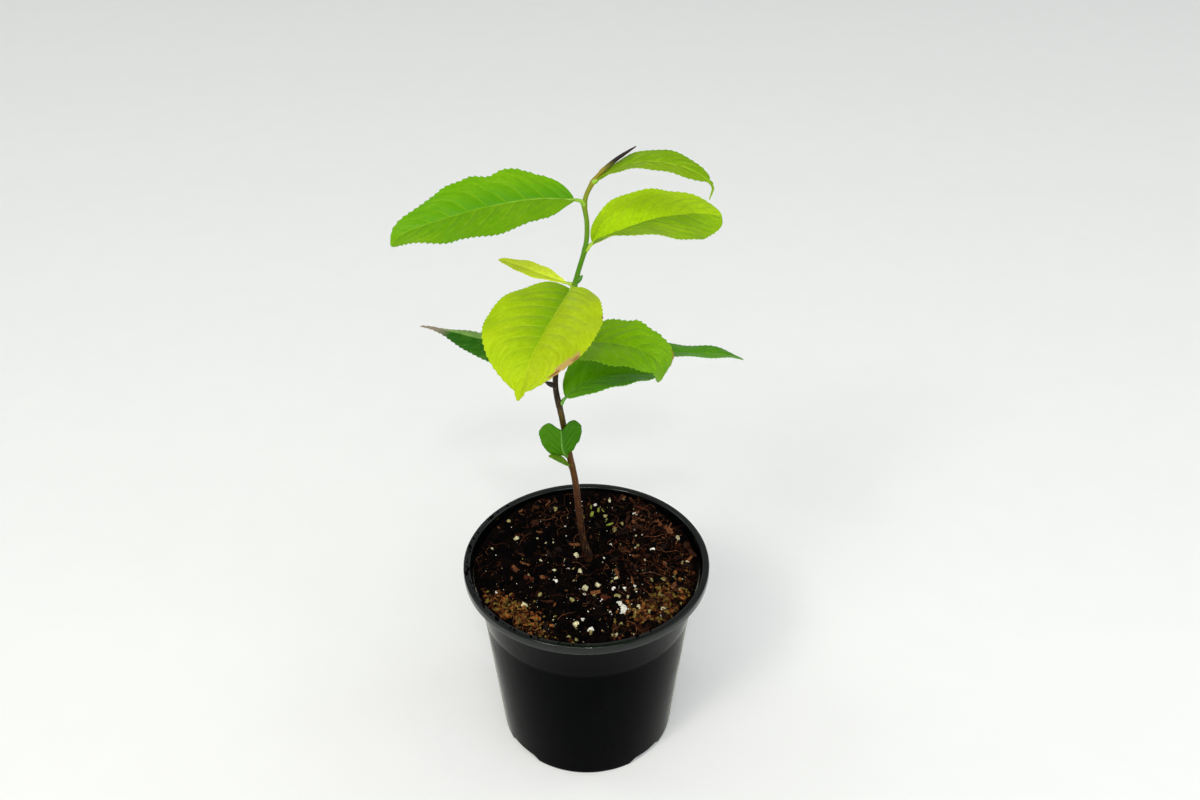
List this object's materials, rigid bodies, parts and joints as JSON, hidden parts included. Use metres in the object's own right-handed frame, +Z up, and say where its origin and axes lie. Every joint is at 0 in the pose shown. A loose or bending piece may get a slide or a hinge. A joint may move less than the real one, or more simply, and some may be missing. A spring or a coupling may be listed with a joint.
{
  "type": "potted tea seedling",
  "caption": "Young tea plant with a slender leaning stem, broad glossy leaves and a pointed end bud, in a round black nursery pot.",
  "frame": {"origin": "middle of the flat underside of the pot", "axes": "+Z up the plant, -Y towards the front as pictured, +X to its right"},
  "size_m": [0.1335, 0.1116, 0.2757],
  "materials": {
    "pot": "glossy moulded black",
    "soil": "loose damp compost",
    "stem": "satin young bark",
    "bud": "satin bud scale",
    "leaf_dark": "glossy leaf",
    "leaf_green": "glossy leaf",
    "leaf_young": "satin young leaf"
  },
  "bodies": {
    "root": {"pot": "pot", "soil": "soil", "stem": "stem", "tip_bud": "bud", "leaf_heart": "leaf_dark", "leaf_tiny": "leaf_dark", "leaf_lower_right": "leaf_dark", "leaf_left_narrow": "leaf_dark", "leaf_far_right": "leaf_dark", "leaf_right_broad": "leaf_green", "leaf_upper_left": "leaf_green", "leaf_top_arched": "leaf_green", "leaf_front_broad": "leaf_young", "leaf_small_left": "leaf_young", "leaf_upper_right": "leaf_young"}
  },
  "joints": []
}
